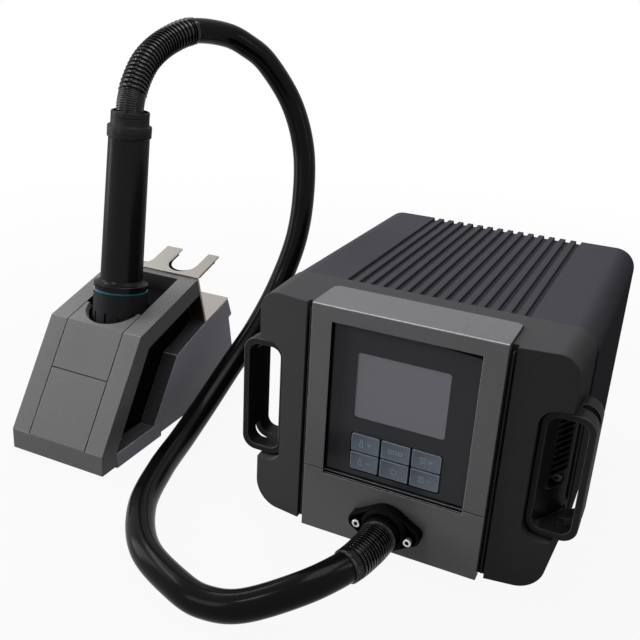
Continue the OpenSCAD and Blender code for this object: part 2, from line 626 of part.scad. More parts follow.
module heat_liner() color("#3b3a39") at_hand() turned([[14.5, -36], [23.5, -36], [23.5, 11], [21, 11],
  [21, -0.1], [14.5, -0.1]]);

module fork_plate(t, x_cut, s_end) difference() {
  linear_extrude(t) difference() {
    union() {
      square([2 * stand_hw, 4.4]);
      translate([33, 0]) square([2 * stand_hw - 33, s_end]);
      difference() {
        translate([24, 0]) square([10, 13.4]);
        translate([24, 13.4]) circle(9);
      }
    }
    translate([60.5, 16.1]) circle(12.7);
    translate([47.8, 16.1]) square([25.4, 40]);
  }
  translate([-1, -1, -1]) cube([1 + x_cut, 100, 10]);
}

// One sheet bent three times: fork on top, web behind the shell, shelf on the block
module fork_bracket() color(steel) at_stand() {
  translate([-stand_hw, 110.2, 114.95]) rotate([16.33, 0, 0]) fork_plate(1.5, 0, 33.5);
  along_x(-stand_hw, stand_hw) polygon([[110.2, 114.9], [111.65, 115.6], [122.75, 74.85],
    [156.4, 85.1], [156.85, 83.66], [121.6, 72.95]]);
}

module fork_backing() color(black) at_stand() translate([-stand_hw, 110.3, 115.02])
  rotate([16.33, 0, 0]) translate([0, 3.5, -1.36]) intersection() {
    fork_plate(1.3, 20, 24);
    translate([0, 0, -1]) cube([2 * stand_hw - 0.4, 40, 5]);
  }

housing();
base_tray();
feet();
foot_screws();
front_bezel();
centre_panel_upper();
centre_panel_lower();
handle_left();
handle_right();
handle_screws();
display_glass();
display_module();
key_temp_up();
key_channel();
key_flow_up();
key_temp_down();
key_power();
key_flow_down();
control_board();
tact_switches();
board_screws();
hose_flange();
flange_screws();
hose_boot_station();
hose_boot_handle();
hose();
rear_panel();
rear_screws();
air_filter();
mains_inlet();
fuse_drawer();
switch_frame();
power_rocker();
blower_volute();
blower_impeller();
blower_motor();
air_duct();
power_board();
board_spacers();
heatsink();
transformer();
handpiece_tube();
handpiece_top_ring();
handpiece_collar();
accent_ring();
handpiece_sleeve();
air_pipe();
heater_tube();
heater_core();
nozzle();
stand_shell();
stand_front_upper();
stand_front_lower();
stand_block();
stand_base();
stand_feet();
heat_liner();
well_deck();
fork_bracket();
fork_backing();
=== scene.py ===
import json
import math
import bmesh
import bpy
from mathutils import Matrix, Vector


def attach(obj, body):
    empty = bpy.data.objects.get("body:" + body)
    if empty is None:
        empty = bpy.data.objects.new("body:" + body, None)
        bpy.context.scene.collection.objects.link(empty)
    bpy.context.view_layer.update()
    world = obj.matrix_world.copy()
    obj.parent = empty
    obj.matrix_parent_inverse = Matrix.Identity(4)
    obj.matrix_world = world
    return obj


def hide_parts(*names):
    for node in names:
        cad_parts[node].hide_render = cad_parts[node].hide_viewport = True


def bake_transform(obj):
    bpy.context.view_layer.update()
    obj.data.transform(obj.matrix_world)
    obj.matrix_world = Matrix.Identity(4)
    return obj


# Hot air rework station: blower station, air hose and handpiece in its stand.
# The scene is in metres, in the frame that the solids share; the dictionaries are in millimetres.

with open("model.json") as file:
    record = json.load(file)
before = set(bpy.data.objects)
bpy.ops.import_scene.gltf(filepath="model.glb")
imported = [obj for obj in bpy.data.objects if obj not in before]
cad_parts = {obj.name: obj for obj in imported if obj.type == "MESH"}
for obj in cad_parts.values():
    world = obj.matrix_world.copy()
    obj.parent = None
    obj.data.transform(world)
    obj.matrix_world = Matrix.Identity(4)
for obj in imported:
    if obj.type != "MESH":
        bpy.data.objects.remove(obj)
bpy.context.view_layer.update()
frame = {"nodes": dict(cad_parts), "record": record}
nodes = frame["nodes"]
bodyOf = {n: body for body, names in frame["record"]["behaviour"]["bodies"].items() for n in names}
mm = 0.001

# Origins of station, stand and handpiece; the last two count from the station's own
placeFacts = {"station": (91.6, -110, 0), "stand": (-252, 0, 0), "handpiece": (-251.7, 61.5, 73.7), "lean": -8.3}
stationAt = Vector(placeFacts["station"]) * mm
standAt = stationAt + Vector(placeFacts["stand"]) * mm
handAt = stationAt + Vector(placeFacts["handpiece"]) * mm
stationFrame = Matrix.Translation(stationAt)
handFrame = Matrix.Translation(handAt) @ Matrix.Rotation(math.radians(placeFacts["lean"]), 4, "X")

# Camera at the photograph's place

cameraFacts = {"place": (0.22521, -0.52634, 0.34079), "turn": (67.690, -2.9223, 25.3691), "lens": 47.033}


def addCamera(facts):
    data = bpy.data.cameras.new("camera")
    data.lens = facts["lens"]
    data.sensor_width = 36
    data.clip_start = 0.01
    obj = bpy.data.objects.new("camera", data)
    obj.location = facts["place"]
    obj.rotation_euler = [math.radians(a) for a in facts["turn"]]
    bpy.context.scene.collection.objects.link(obj)
    bpy.context.scene.camera = obj


addCamera(cameraFacts)
print("camera placed")

# Materials


def toLinear(code):
    parts = [int(code[i:i + 2], 16) / 255 for i in (1, 3, 5)]
    return tuple(p / 12.92 if p <= 0.04045 else ((p + 0.055) / 1.055) ** 2.4 for p in parts) + (1,)


def addNode(tree, kind, settings=None, links=None):  # settings name a property or an input
    node = tree.nodes.new(kind)
    for key, value in (settings or {}).items():
        if isinstance(key, str) and hasattr(node, key):
            setattr(node, key, value)
        else:
            node.inputs[key].default_value = value
    for key, source in (links or {}).items():
        tree.links.new(source, node.inputs[key])
    return node


def makeFinish(name, facts):
    material = bpy.data.materials.new(name)
    material.use_nodes = True
    tree = material.node_tree
    tree.nodes.clear()
    place = addNode(tree, "ShaderNodeTexCoord").outputs["Object"]
    grainPlace = place
    if "stretch" in facts:  # lines run along the axis with the small number
        grainPlace = addNode(tree, "ShaderNodeMapping", {"Scale": facts["stretch"]}, {"Vector": place}).outputs[0]
    drift = addNode(tree, "ShaderNodeTexNoise", {"Scale": 1 / mm / facts.get("driftMm", 45), "Detail": 2.0},
                    {"Vector": place})  # slow change of tone over the surface
    grain = addNode(tree, "ShaderNodeTexNoise", {"Scale": 1 / mm / facts["grainMm"], "Detail": 3.0,
                    "Roughness": 0.6}, {"Vector": grainPlace})
    tone = addNode(tree, "ShaderNodeMix", {"data_type": "RGBA", 6: toLinear(facts["base"]),
                   7: toLinear(facts["tone"])}, {0: drift.outputs["Fac"]})
    noiseSpan = {"From Min": 0.3, "From Max": 0.7}  # noise hardly ever leaves this range
    fleck, swing = facts["fleck"], facts.get("roughSwing", 0.05)
    speck = addNode(tree, "ShaderNodeMapRange", {**noiseSpan, "To Min": 1 - fleck, "To Max": 1 + fleck},
                    {"Value": grain.outputs["Fac"]})
    colour = addNode(tree, "ShaderNodeVectorMath", {"operation": "SCALE"},
                     {0: tone.outputs[2], "Scale": speck.outputs["Result"]})
    rough = addNode(tree, "ShaderNodeMapRange", {**noiseSpan, "To Min": facts["rough"] - swing,
                    "To Max": facts["rough"] + swing}, {"Value": grain.outputs["Fac"]})
    shader = addNode(tree, "ShaderNodeBsdfPrincipled", {
        "Metallic": facts.get("metal", 0.0), "IOR": 1.5, "Specular IOR Level": facts.get("shine", 0.5),
        "Coat Weight": facts.get("coat", 0.0), "Coat Roughness": facts.get("coatRough", 0.05),
        "Coat IOR": facts.get("coatIor", 1.5)},
        {"Base Color": colour.outputs[0], "Roughness": rough.outputs["Result"]})
    if facts["bumpMm"]:
        bump = addNode(tree, "ShaderNodeBump", {"Strength": 1.0, "Distance": facts["bumpMm"] * mm},
                       {"Height": grain.outputs["Fac"]})
        tree.links.new(bump.outputs["Normal"], shader.inputs["Normal"])
    addNode(tree, "ShaderNodeOutputMaterial", None, {"Surface": shader.outputs["BSDF"]})
    return material


# The surface drifts between base and tone, and fleck is how much its grain lightens and darkens it. Real grain
# of these finishes is 0.05 to 0.3 mm and wouldn't show, so grainMm is drawn coarser. On dark parts shine is 0
# and a thin coat carries the gloss: the lower its IOR, the blacker the middle and the paler the edges.
finishes = {
    # Textured powder coat on the cast bezel: near black, tiny pimples, hardly any gloss; also the dark painted
    # shade inside the stand
    "powderCoatCharcoal": {"base": "#444446", "tone": "#4a4a4b", "rough": 0.5, "grainMm": 1.1,
                           "bumpMm": 0.02, "fleck": 0.07, "shine": 0, "coat": 0.02, "coatRough": 0.3},
    # Bead-blasted, grey anodised aluminium plate: fine sparkle in a satin mid grey
    "blastedAnodisedPlate": {"base": "#686769", "tone": "#6e6d6f", "rough": 0.42, "metal": 0.2, "grainMm": 1.1,
                             "bumpMm": 0.02, "fleck": 0.1, "shine": 0, "coat": 0.06, "coatRough": 0.3},
    # The same plate on the stand, a shade lighter
    "blastedStandPlate": {"base": "#696869", "tone": "#6f6e6f", "rough": 0.45, "metal": 0.15, "grainMm": 1.1,
                          "bumpMm": 0.02, "fleck": 0.1, "shine": 0, "coat": 0.06, "coatRough": 0.3},
    # Lower block of the stand: bluish grey paint, even
    "sprayedBluishGrey": {"base": "#abaab2", "tone": "#b2b1b9", "rough": 0.5, "grainMm": 1.4,
                          "bumpMm": 0.015, "fleck": 0.07, "shine": 0, "coat": 0.05, "coatRough": 0.3},
    # Diamond-cut edge: bare bright aluminium line round the plates
    "diamondCutEdge": {"base": "#a0a0a2", "tone": "#aaaaac", "rough": 0.3, "grainMm": 2.0,
                       "bumpMm": 0, "fleck": 0.1, "metal": 1.0},
    # Painted highlight: the broken edges of plates, castings and mouldings are coloured a little paler
    "rubbedPlateEdge": {"base": "#8a898b", "tone": "#7c7b7d", "rough": 0.4, "grainMm": 2.5,
                        "bumpMm": 0, "fleck": 0.15, "shine": 0, "coat": 0.1, "coatRough": 0.25},
    "rubbedCharcoalEdge": {"base": "#4c4c4e", "tone": "#404042", "rough": 0.45, "grainMm": 2.5,
                           "bumpMm": 0, "fleck": 0.15, "shine": 0, "coat": 0.06, "coatRough": 0.25},
    "rubbedAbsEdge": {"base": "#5a5a5c", "tone": "#4a4a4c", "rough": 0.4, "grainMm": 2.5,
                      "bumpMm": 0, "fleck": 0.15, "shine": 0, "coat": 0.1, "coatRough": 0.2},
    # Dark anodised extruded shell: even satin, slightly blue
    "anodisedExtrusion": {"base": "#404045", "tone": "#444449", "rough": 0.48, "grainMm": 0.8,
                          "bumpMm": 0.006, "fleck": 0.05, "shine": 0, "coat": 0.006, "coatRough": 0.3},
    # Spark-eroded ABS of the handles: fine mould grain
    "mouldedAbs": {"base": "#2c2c2e", "tone": "#303032", "rough": 0.42, "grainMm": 0.9,
                   "bumpMm": 0.015, "fleck": 0.06, "shine": 0, "coat": 0.14, "coatRough": 0.3},
    # Moulded nylon of the handpiece: black with a soft sheen
    "mouldedNylon": {"base": "#161618", "tone": "#1a1a1c", "rough": 0.34, "grainMm": 1.2,
                     "bumpMm": 0.002, "fleck": 0.05, "shine": 0, "coat": 0.22, "coatRough": 0.22},
    # Glass filled nylon of the hose flange: black and nearly matte
    "blackGlassNylon": {"base": "#0e0e0f", "tone": "#121213", "rough": 0.45, "grainMm": 0.9,
                        "bumpMm": 0.012, "fleck": 0.08, "shine": 0, "coat": 0.06, "coatRough": 0.3},
    # Matte black moulded polycarbonate of the inner parts; also the black painted shade on recess walls, gaps,
    # openings, screw sockets and the strip round the window
    "mouldedPolycarbonate": {"base": "#121213", "tone": "#161618", "rough": 0.6, "grainMm": 0.9,
                             "bumpMm": 0.01, "fleck": 0.05, "shine": 0, "coat": 0.03, "coatRough": 0.4},
    # Extruded rubber hose: smooth and black, with long soft highlights that grow towards its edges
    "extrudedRubber": {"base": "#09090a", "tone": "#0c0c0d", "rough": 0.25, "driftMm": 30, "grainMm": 7.0,
                       "bumpMm": 0.01, "fleck": 0.04, "shine": 0, "coat": 0.7, "coatRough": 0.18,
                       "coatIor": 1.21},
    # Moulded rubber boots: oily gloss on each rib
    "mouldedRubber": {"base": "#080809", "tone": "#0b0b0c", "rough": 0.2, "grainMm": 4.0,
                      "bumpMm": 0, "fleck": 0.04, "shine": 0, "coat": 0.85, "coatRough": 0.12,
                      "coatIor": 1.4},
    # Feet: dull rubber
    "dullRubber": {"base": "#171717", "tone": "#1b1b1b", "rough": 0.7, "grainMm": 0.9,
                   "bumpMm": 0.02, "fleck": 0.05, "shine": 0.1},
    # Stainless sheet brushed across its width
    "brushedStainless": {"base": "#a29e98", "tone": "#aaa6a0", "rough": 0.28, "roughSwing": 0.01, "grainMm": 0.6,
                         "stretch": (0.03, 1, 1), "bumpMm": 0, "fleck": 0.015, "metal": 1.0},
    # Turned screw steel
    "turnedSteel": {"base": "#bdbcba", "tone": "#c8c7c5", "rough": 0.22, "grainMm": 0.5,
                    "bumpMm": 0.002, "fleck": 0.04, "metal": 1.0},
    # Black oxide screws in the handles
    "blackOxideSteel": {"base": "#1b1b1d", "tone": "#202022", "rough": 0.38, "grainMm": 0.6,
                        "bumpMm": 0.003, "fleck": 0.06, "shine": 0.3},
    # Zinc plated sheet and spacers
    "zincPlate": {"base": "#a7a9ab", "tone": "#b4b5b2", "rough": 0.38, "grainMm": 3.0,
                  "bumpMm": 0.004, "fleck": 0.08, "metal": 1.0},
    # Extruded aluminium heatsink and impeller
    "milledAluminium": {"base": "#b9babc", "tone": "#c3c4c6", "rough": 0.35, "grainMm": 0.8,
                        "stretch": (1, 0.04, 1), "bumpMm": 0.005, "fleck": 0.05, "metal": 1.0},
    # Steel blued by heat
    "heatBluedSteel": {"base": "#2a2725", "tone": "#3a3330", "rough": 0.42, "grainMm": 4.0,
                       "bumpMm": 0.01, "fleck": 0.1, "metal": 0.7},
    # Sleeve: heat resistant moulding, dull black
    "mouldedPhenolic": {"base": "#2b2b2d", "tone": "#2f2f32", "rough": 0.46, "grainMm": 1.1,
                        "bumpMm": 0.01, "fleck": 0.06, "shine": 0, "coat": 0.08, "coatRough": 0.3},
    # Accent ring: dyed glossy polycarbonate that drifts from blue to teal
    "dyedPolycarbonate": {"base": "#0b4e86", "tone": "#0a8068", "rough": 0.25, "driftMm": 16, "grainMm": 3.0,
                          "bumpMm": 0, "fleck": 0.05, "shine": 0.3},
    # Window: back-printed acrylic sheet, smooth and slightly blue
    "printedAcrylic": {"base": "#3a3a3f", "tone": "#434347", "rough": 0.2, "grainMm": 9.0,
                       "bumpMm": 0, "fleck": 0.02, "shine": 0, "coat": 0.2, "coatRough": 0.12},
    # Unlit display behind its polariser film
    "polariserFilm": {"base": "#89878f", "tone": "#8e8c94", "rough": 0.32, "grainMm": 9.0,
                      "bumpMm": 0, "fleck": 0.02, "shine": 0.15},
    # Keys: satin moulded silicone, cloudy bluish grey
    "mouldedSilicone": {"base": "#6b7380", "tone": "#7d8492", "rough": 0.38, "driftMm": 9, "grainMm": 1.5,
                        "bumpMm": 0.004, "fleck": 0.04, "shine": 0.15},
    # Painted highlight: the bevelled rim of the keys is coloured paler, as if it caught the light
    "paleKeyRimHighlight": {"base": "#a3b2bf", "tone": "#8b99a6", "rough": 0.35, "grainMm": 1.5,
                        "bumpMm": 0, "fleck": 0.04, "shine": 0.3},
    # Pad-printed marks on the keys
    "padPrint": {"base": "#93acb8", "tone": "#9cb6c2", "rough": 0.5, "grainMm": 1.0,
                 "bumpMm": 0, "fleck": 0.05, "shine": 0.2},
    # Solder-masked glass fibre laminate
    "solderMask": {"base": "#1c5a37", "tone": "#216340", "rough": 0.3, "grainMm": 2.0,
                   "bumpMm": 0.01, "fleck": 0.08, "shine": 0.4},
    # Fired cordierite heater core
    "firedCeramic": {"base": "#d9d2c3", "tone": "#e2dccd", "rough": 0.75, "grainMm": 1.0,
                     "bumpMm": 0.02, "fleck": 0.05, "shine": 0.2},
    # Open-cell filter foam
    "filterFoam": {"base": "#3b3b3d", "tone": "#454547", "rough": 0.9, "grainMm": 1.6,
                   "bumpMm": 0.5, "fleck": 0.3, "shine": 0.05},
    # Red glossy rocker
    "mouldedRocker": {"base": "#7a1717", "tone": "#821a1a", "rough": 0.25, "grainMm": 2.0,
                      "bumpMm": 0.002, "fleck": 0.03, "shine": 0.4},
    # Varnished laminated transformer core
    "varnishedCore": {"base": "#6a5638", "tone": "#75603f", "rough": 0.35, "grainMm": 0.5,
                      "stretch": (1, 1, 0.05), "bumpMm": 0.05, "fleck": 0.12, "shine": 0.3},
}
material = {name: makeFinish(name, facts) for name, facts in finishes.items()}
print("finishes made:", len(material))

# Meshes


def addPiece(name, mesh, finish, body, stands=(), smooth=32, place=None):
    if place is not None:
        mesh.transform(place)
    for polygon in mesh.polygons:
        polygon.use_smooth = True
    mesh.set_sharp_from_angle(angle=math.radians(smooth))
    if not mesh.materials:
        for each in (finish,) if isinstance(finish, str) else finish:
            mesh.materials.append(material[each])
    obj = bpy.data.objects.new(name, mesh)
    bpy.context.scene.collection.objects.link(obj)
    if body:
        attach(obj, body)
    if stands:
        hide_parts(*stands)
    return obj


def finishMesh(name, bm):
    bmesh.ops.recalc_face_normals(bm, faces=bm.faces)
    mesh = bpy.data.meshes.new(name)
    bm.to_mesh(mesh)
    bm.free()
    return mesh


def sweepRings(rings, bands=()):  # rings are lists of points, closed with flat ends; bands get the second finish
    bm = bmesh.new()
    loops = [[bm.verts.new(p) for p in ring] for ring in rings]
    n = len(rings[0])
    for k, (a, b) in enumerate(zip(loops, loops[1:])):
        for j in range(n):
            face = bm.faces.new((a[j], a[(j + 1) % n], b[(j + 1) % n], b[j]))
            face.material_index = 1 if k in bands else 0
    bm.faces.new(list(reversed(loops[0])))
    bm.faces.new(loops[-1])
    return bm


def roundedLoop(x0, x1, z0, z1, radii, steps=5):  # outline in X and Z; radii from lower left, anticlockwise
    points = []
    corners = ((x0, z0, 1, 1, 180), (x1, z0, -1, 1, 270), (x1, z1, -1, -1, 0), (x0, z1, 1, -1, 90))
    for (x, z, sx, sz, start), r in zip(corners, radii):
        for k in range(steps + 1):
            a = math.radians(start + 90 * k / steps)
            points.append((x + sx * r + r * math.cos(a), z + sz * r + r * math.sin(a)))
    return points


def addRibbon(bm, points, width, y0, y1, closed=False):  # flat printed line between two depths
    n = len(points)
    sides = []
    for k in range(n):
        before = Vector(points[k - 1] if closed or k else points[0])
        after = Vector(points[(k + 1) % n] if closed or k < n - 1 else points[-1])
        here = Vector(points[k])
        a = (here - before).normalized() if (here - before).length else (after - here).normalized()
        b = (after - here).normalized() if (after - here).length else a
        normal = Vector((-(a + b).y, (a + b).x)).normalized()
        half = width / 2 / max(0.5, abs(normal.dot(Vector((-a.y, a.x)))))
        sides.append((here + normal * half, here - normal * half))
    rows = [[bm.verts.new(Vector((q.x, y, q.y)) * mm) for q, y in
             ((left, y0), (right, y0), (right, y1), (left, y1))] for left, right in sides]
    for k in range(n if closed else n - 1):
        a, b = rows[k], rows[(k + 1) % n]
        for j in range(4):
            bm.faces.new((a[j], a[(j + 1) % 4], b[(j + 1) % 4], b[j]))
    if not closed:
        bm.faces.new(list(reversed(rows[0])))
        bm.faces.new(rows[-1])


def plateWithWindows(outer, windows, y0, y1):  # flat plate along Y with open windows
    bm = bmesh.new()
    edges = []
    for loop in [outer] + windows:
        verts = [bm.verts.new(Vector((x, y0, z)) * mm) for x, z in loop]
        edges += [bm.edges.new((verts[k - 1], verts[k])) for k in range(len(verts))]
    bmesh.ops.triangle_fill(bm, use_beauty=True, edges=edges)
    grown = bmesh.ops.extrude_face_region(bm, geom=bm.faces[:], use_keep_orig=True)
    bmesh.ops.translate(bm, vec=(0, (y1 - y0) * mm, 0),
                        verts=[g for g in grown["geom"] if isinstance(g, bmesh.types.BMVert)])
    return bm


def turnedPiece(name, facts, finish, stands, sides=96):  # profile is a closed outline of (radius, height)
    slope = math.tan(math.radians(facts.get("lean", 0)))
    leanX, leanY = facts.get("leanTo", (0, 0))
    bm = bmesh.new()
    loops = []
    for r, z in facts["profile"]:
        ring = []
        for j in range(sides):
            a = 2 * math.pi * j / sides
            x, y = r * math.cos(a), r * math.sin(a)
            ring.append(bm.verts.new(Vector((x, y, z + slope * (leanY * y + leanX * x))) * mm))
        loops.append(ring)
    for k in range(len(loops)):
        a, b = loops[k], loops[(k + 1) % len(loops)]
        for j in range(sides):
            bm.faces.new((a[j], a[(j + 1) % sides], b[(j + 1) % sides], b[j]))
    return addPiece(name, finishMesh(name, bm), finish, "handpiece", stands, place=handFrame)


# Route of the hose, the same points as the part's source, from the station's own origin

route = [Vector(p) for p in (
    (0, -4.5, 28.1), (0, -17, 28.1), (-1, -32, 29), (-6, -51, 28.5), (-21, -74, 25), (-48, -92, 15),
    (-70, -96, 10.5), (-92, -92, 10), (-130, -73, 10), (-158, -38, 10), (-174, 5, 10),
    (-184, 48, 11), (-189, 88, 20), (-189, 124, 37), (-184, 158, 61), (-180, 190, 91),
    (-176, 213, 128), (-177, 226, 166), (-184, 236, 204), (-197, 236, 240),
    (-213, 221, 272), (-225, 207, 286), (-236, 192, 294), (-247, 162, 297), (-255, 138, 289.5),
    (-256, 114, 278), (-255, 98, 263), (-253, 88, 248), (-251.7, 85, 236), (-251.7, 84.6, 232))]


def routeAt(t):  # smooth curve through the points; t counts them
    i = min(int(t), len(route) - 2)
    f = t - i
    b, c = route[i], route[i + 1]
    a = route[i - 1] if i else 2 * b - c
    d = route[i + 2] if i + 2 < len(route) else 2 * c - b
    return stationAt + 0.5 * mm * (2 * b + (c - a) * f + (2 * a - 5 * b + 4 * c - d) * f * f
                                   + (3 * b - 3 * c + d - a) * f ** 3)


def walk(start, end, steps):  # places along the route, steps for each of its points, and the distance walked
    count = int((end - start) * steps)
    points = [routeAt(start + (end - start) * k / count) for k in range(count + 1)]
    far = [0.0]
    for p, q in zip(points, points[1:]):
        far.append(far[-1] + (q - p).length)
    return points, far


def ringsAlong(points, far, stops, sides, radiusAt):  # one ring at each stop; radiusAt(stop's number, angle)
    headings = []
    for k in range(len(points)):
        headings.append((points[min(k + 1, len(points) - 1)] - points[max(k - 1, 0)]).normalized())
    side = headings[0].cross(Vector((0.7, 0.1, 0.7))).normalized()
    frames = []
    for h in headings:
        side = (side - h * side.dot(h)).normalized()
        frames.append((side.copy(), h.cross(side)))
    rings, k = [], 0
    angles = [2 * math.pi * j / sides for j in range(sides)]
    for number, s in enumerate(stops):
        while k < len(far) - 2 and far[k + 1] < s:
            k += 1
        f = min(1, max(0, (s - far[k]) / (far[k + 1] - far[k])))
        centre = points[k].lerp(points[k + 1], f)
        u = frames[k][0].lerp(frames[k + 1][0], f).normalized()
        v = frames[k][1].lerp(frames[k + 1][1], f).normalized()
        rings.append([centre + radiusAt(number, a) * (math.cos(a) * u + math.sin(a) * v) for a in angles])
    return rings


# The hose narrows where it is tucked out of sight, 4 mm inside one boot and 1 mm inside the other

hoseFacts = {"radius": 9.48, "tucked": 8.7, "inStationBoot": 4, "inHandleBoot": 1, "sides": 40, "steps": 14}

# A boot runs between two points of the route. Its ribs are drawn as (share of the pitch, share of the depth).

stationBoot = {"from": 0, "to": 3, "steps": 24, "ribs": 13, "wide": 11.6, "narrow": 10.6, "deep": 1.15,
               "rib": ((0.03, 1), (0.2, 1), (0.28, 0.6), (0.33, 0.12), (0.4, 0), (0.72, 0), (0.8, 0.1),
                       (0.86, 0.5), (0.92, 0.95)),
               "collar": 12.4, "collarRings": (2.2, 4.4, 6.6, 8.8, 10.4), "cuff": 5.2, "flutes": 72,
               "fluteDeep": 0.28}
handleBoot = {"from": 23, "to": 29, "steps": 24, "sides": 64, "outer": 10.6, "cuff": 3.0,
              "fins": 25, "pitch": 3.3, "deep": 1.75,
              "fin": ((0.04, 1), (0.26, 1), (0.38, 0.9), (0.44, 0.5), (0.48, 0.12), (0.52, 0), (0.58, 0),
                      (0.62, 0.12), (0.66, 0.5), (0.72, 0.9), (0.86, 1)),
              "finePitch": 1.35, "fineDeep": 0.6, "fineInset": 0.5,
              "fineRing": ((0.08, 1), (0.26, 0.9), (0.4, 0.2), (0.5, 0), (0.68, 0), (0.78, 0.2), (0.92, 0.9))}


def addHose(facts):
    points, far = walk(0, len(route) - 1, facts["steps"])
    first = walk(0, stationBoot["to"], facts["steps"])[1][-1] - facts["inStationBoot"] * mm
    last = walk(0, handleBoot["from"], facts["steps"])[1][-1] + facts["inHandleBoot"] * mm

    def radiusAt(number, angle):
        return facts["radius" if first <= far[number] <= last else "tucked"] * mm

    bm = sweepRings(ringsAlong(points, far, far, facts["sides"], radiusAt))
    obj = addPiece("air_hose", finishMesh("air_hose", bm), "extrudedRubber", None, ("hose",), 50)
    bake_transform(obj)
    return obj, points, far[-1]


def addStationBoot(facts):
    points, far = walk(facts["from"], facts["to"], facts["steps"])
    total = far[-1] / mm
    wide, narrow, collar = facts["wide"], facts["narrow"], facts["collar"]
    outline = [(0, wide - 0.4), (0.4, wide)] + [(s, wide) for s in facts["collarRings"]]
    outline += [(collar - 1.0, wide - 0.05), (collar - 0.5, wide - 0.5)]
    pitch = (total - collar - facts["cuff"]) / facts["ribs"]
    for i in range(facts["ribs"]):
        start = collar + pitch * i
        r = wide + (narrow - wide) * (start / total)
        outline += [(start + u * pitch, r - deep * facts["deep"]) for u, deep in facts["rib"]]
    cuff = total - facts["cuff"]
    outline += [(cuff + 0.1, narrow - 0.6), (cuff + 0.5, narrow), (cuff + 2, narrow), (cuff + 3.6, narrow),
                (total - 0.5, narrow), (total, narrow - 0.5)]

    def radiusAt(number, angle):
        s, r = outline[number]
        if 3.4 < s < collar - 0.4 or cuff + 0.4 < s < total - 0.2:  # collar and cuff are fluted
            r -= facts["fluteDeep"] * (0.5 + 0.5 * math.cos(facts["flutes"] * angle))
        return r * mm

    bm = sweepRings(ringsAlong(points, far, [s * mm for s, r in outline], facts["flutes"] * 4, radiusAt))
    return addPiece("boot_at_station", finishMesh("boot_at_station", bm), "mouldedRubber", "station",
                    ("hose_boot_station",), 40)


def addHandleBoot(facts):  # cuff, then open fins, then fine rings down into the handpiece
    points, far = walk(facts["from"], facts["to"], facts["steps"])
    total = far[-1] / mm
    r, cuff = facts["outer"], facts["cuff"]
    outline = [(0, r - 0.9), (0.5, r - 0.35), (cuff - 0.4, r - 0.35), (cuff, r - 0.8)]
    for i in range(facts["fins"]):
        start = cuff + facts["pitch"] * i
        outline += [(start + u * facts["pitch"], r - deep * facts["deep"]) for u, deep in facts["fin"]]
    fine = cuff + facts["pitch"] * facts["fins"]
    for i in range(int((total - fine - 0.5) / facts["finePitch"])):
        outline += [(fine + (i + u) * facts["finePitch"], r - facts["fineInset"] - deep * facts["fineDeep"])
                    for u, deep in facts["fineRing"]]
    outline.append((total, r - 0.8))

    def radiusAt(number, angle):
        return outline[number][1] * mm

    bm = sweepRings(ringsAlong(points, far, [s * mm for s, r in outline], facts["sides"], radiusAt))
    return addPiece("boot_at_handpiece", finishMesh("boot_at_handpiece", bm), "mouldedRubber", "handpiece",
                    ("hose_boot_handle",), 40)


hose, hosePath, hoseLength = addHose(hoseFacts)
bootStation = addStationBoot(stationBoot)
bootHandle = addHandleBoot(handleBoot)
print("hose laid, metres:", round(hoseLength, 3))
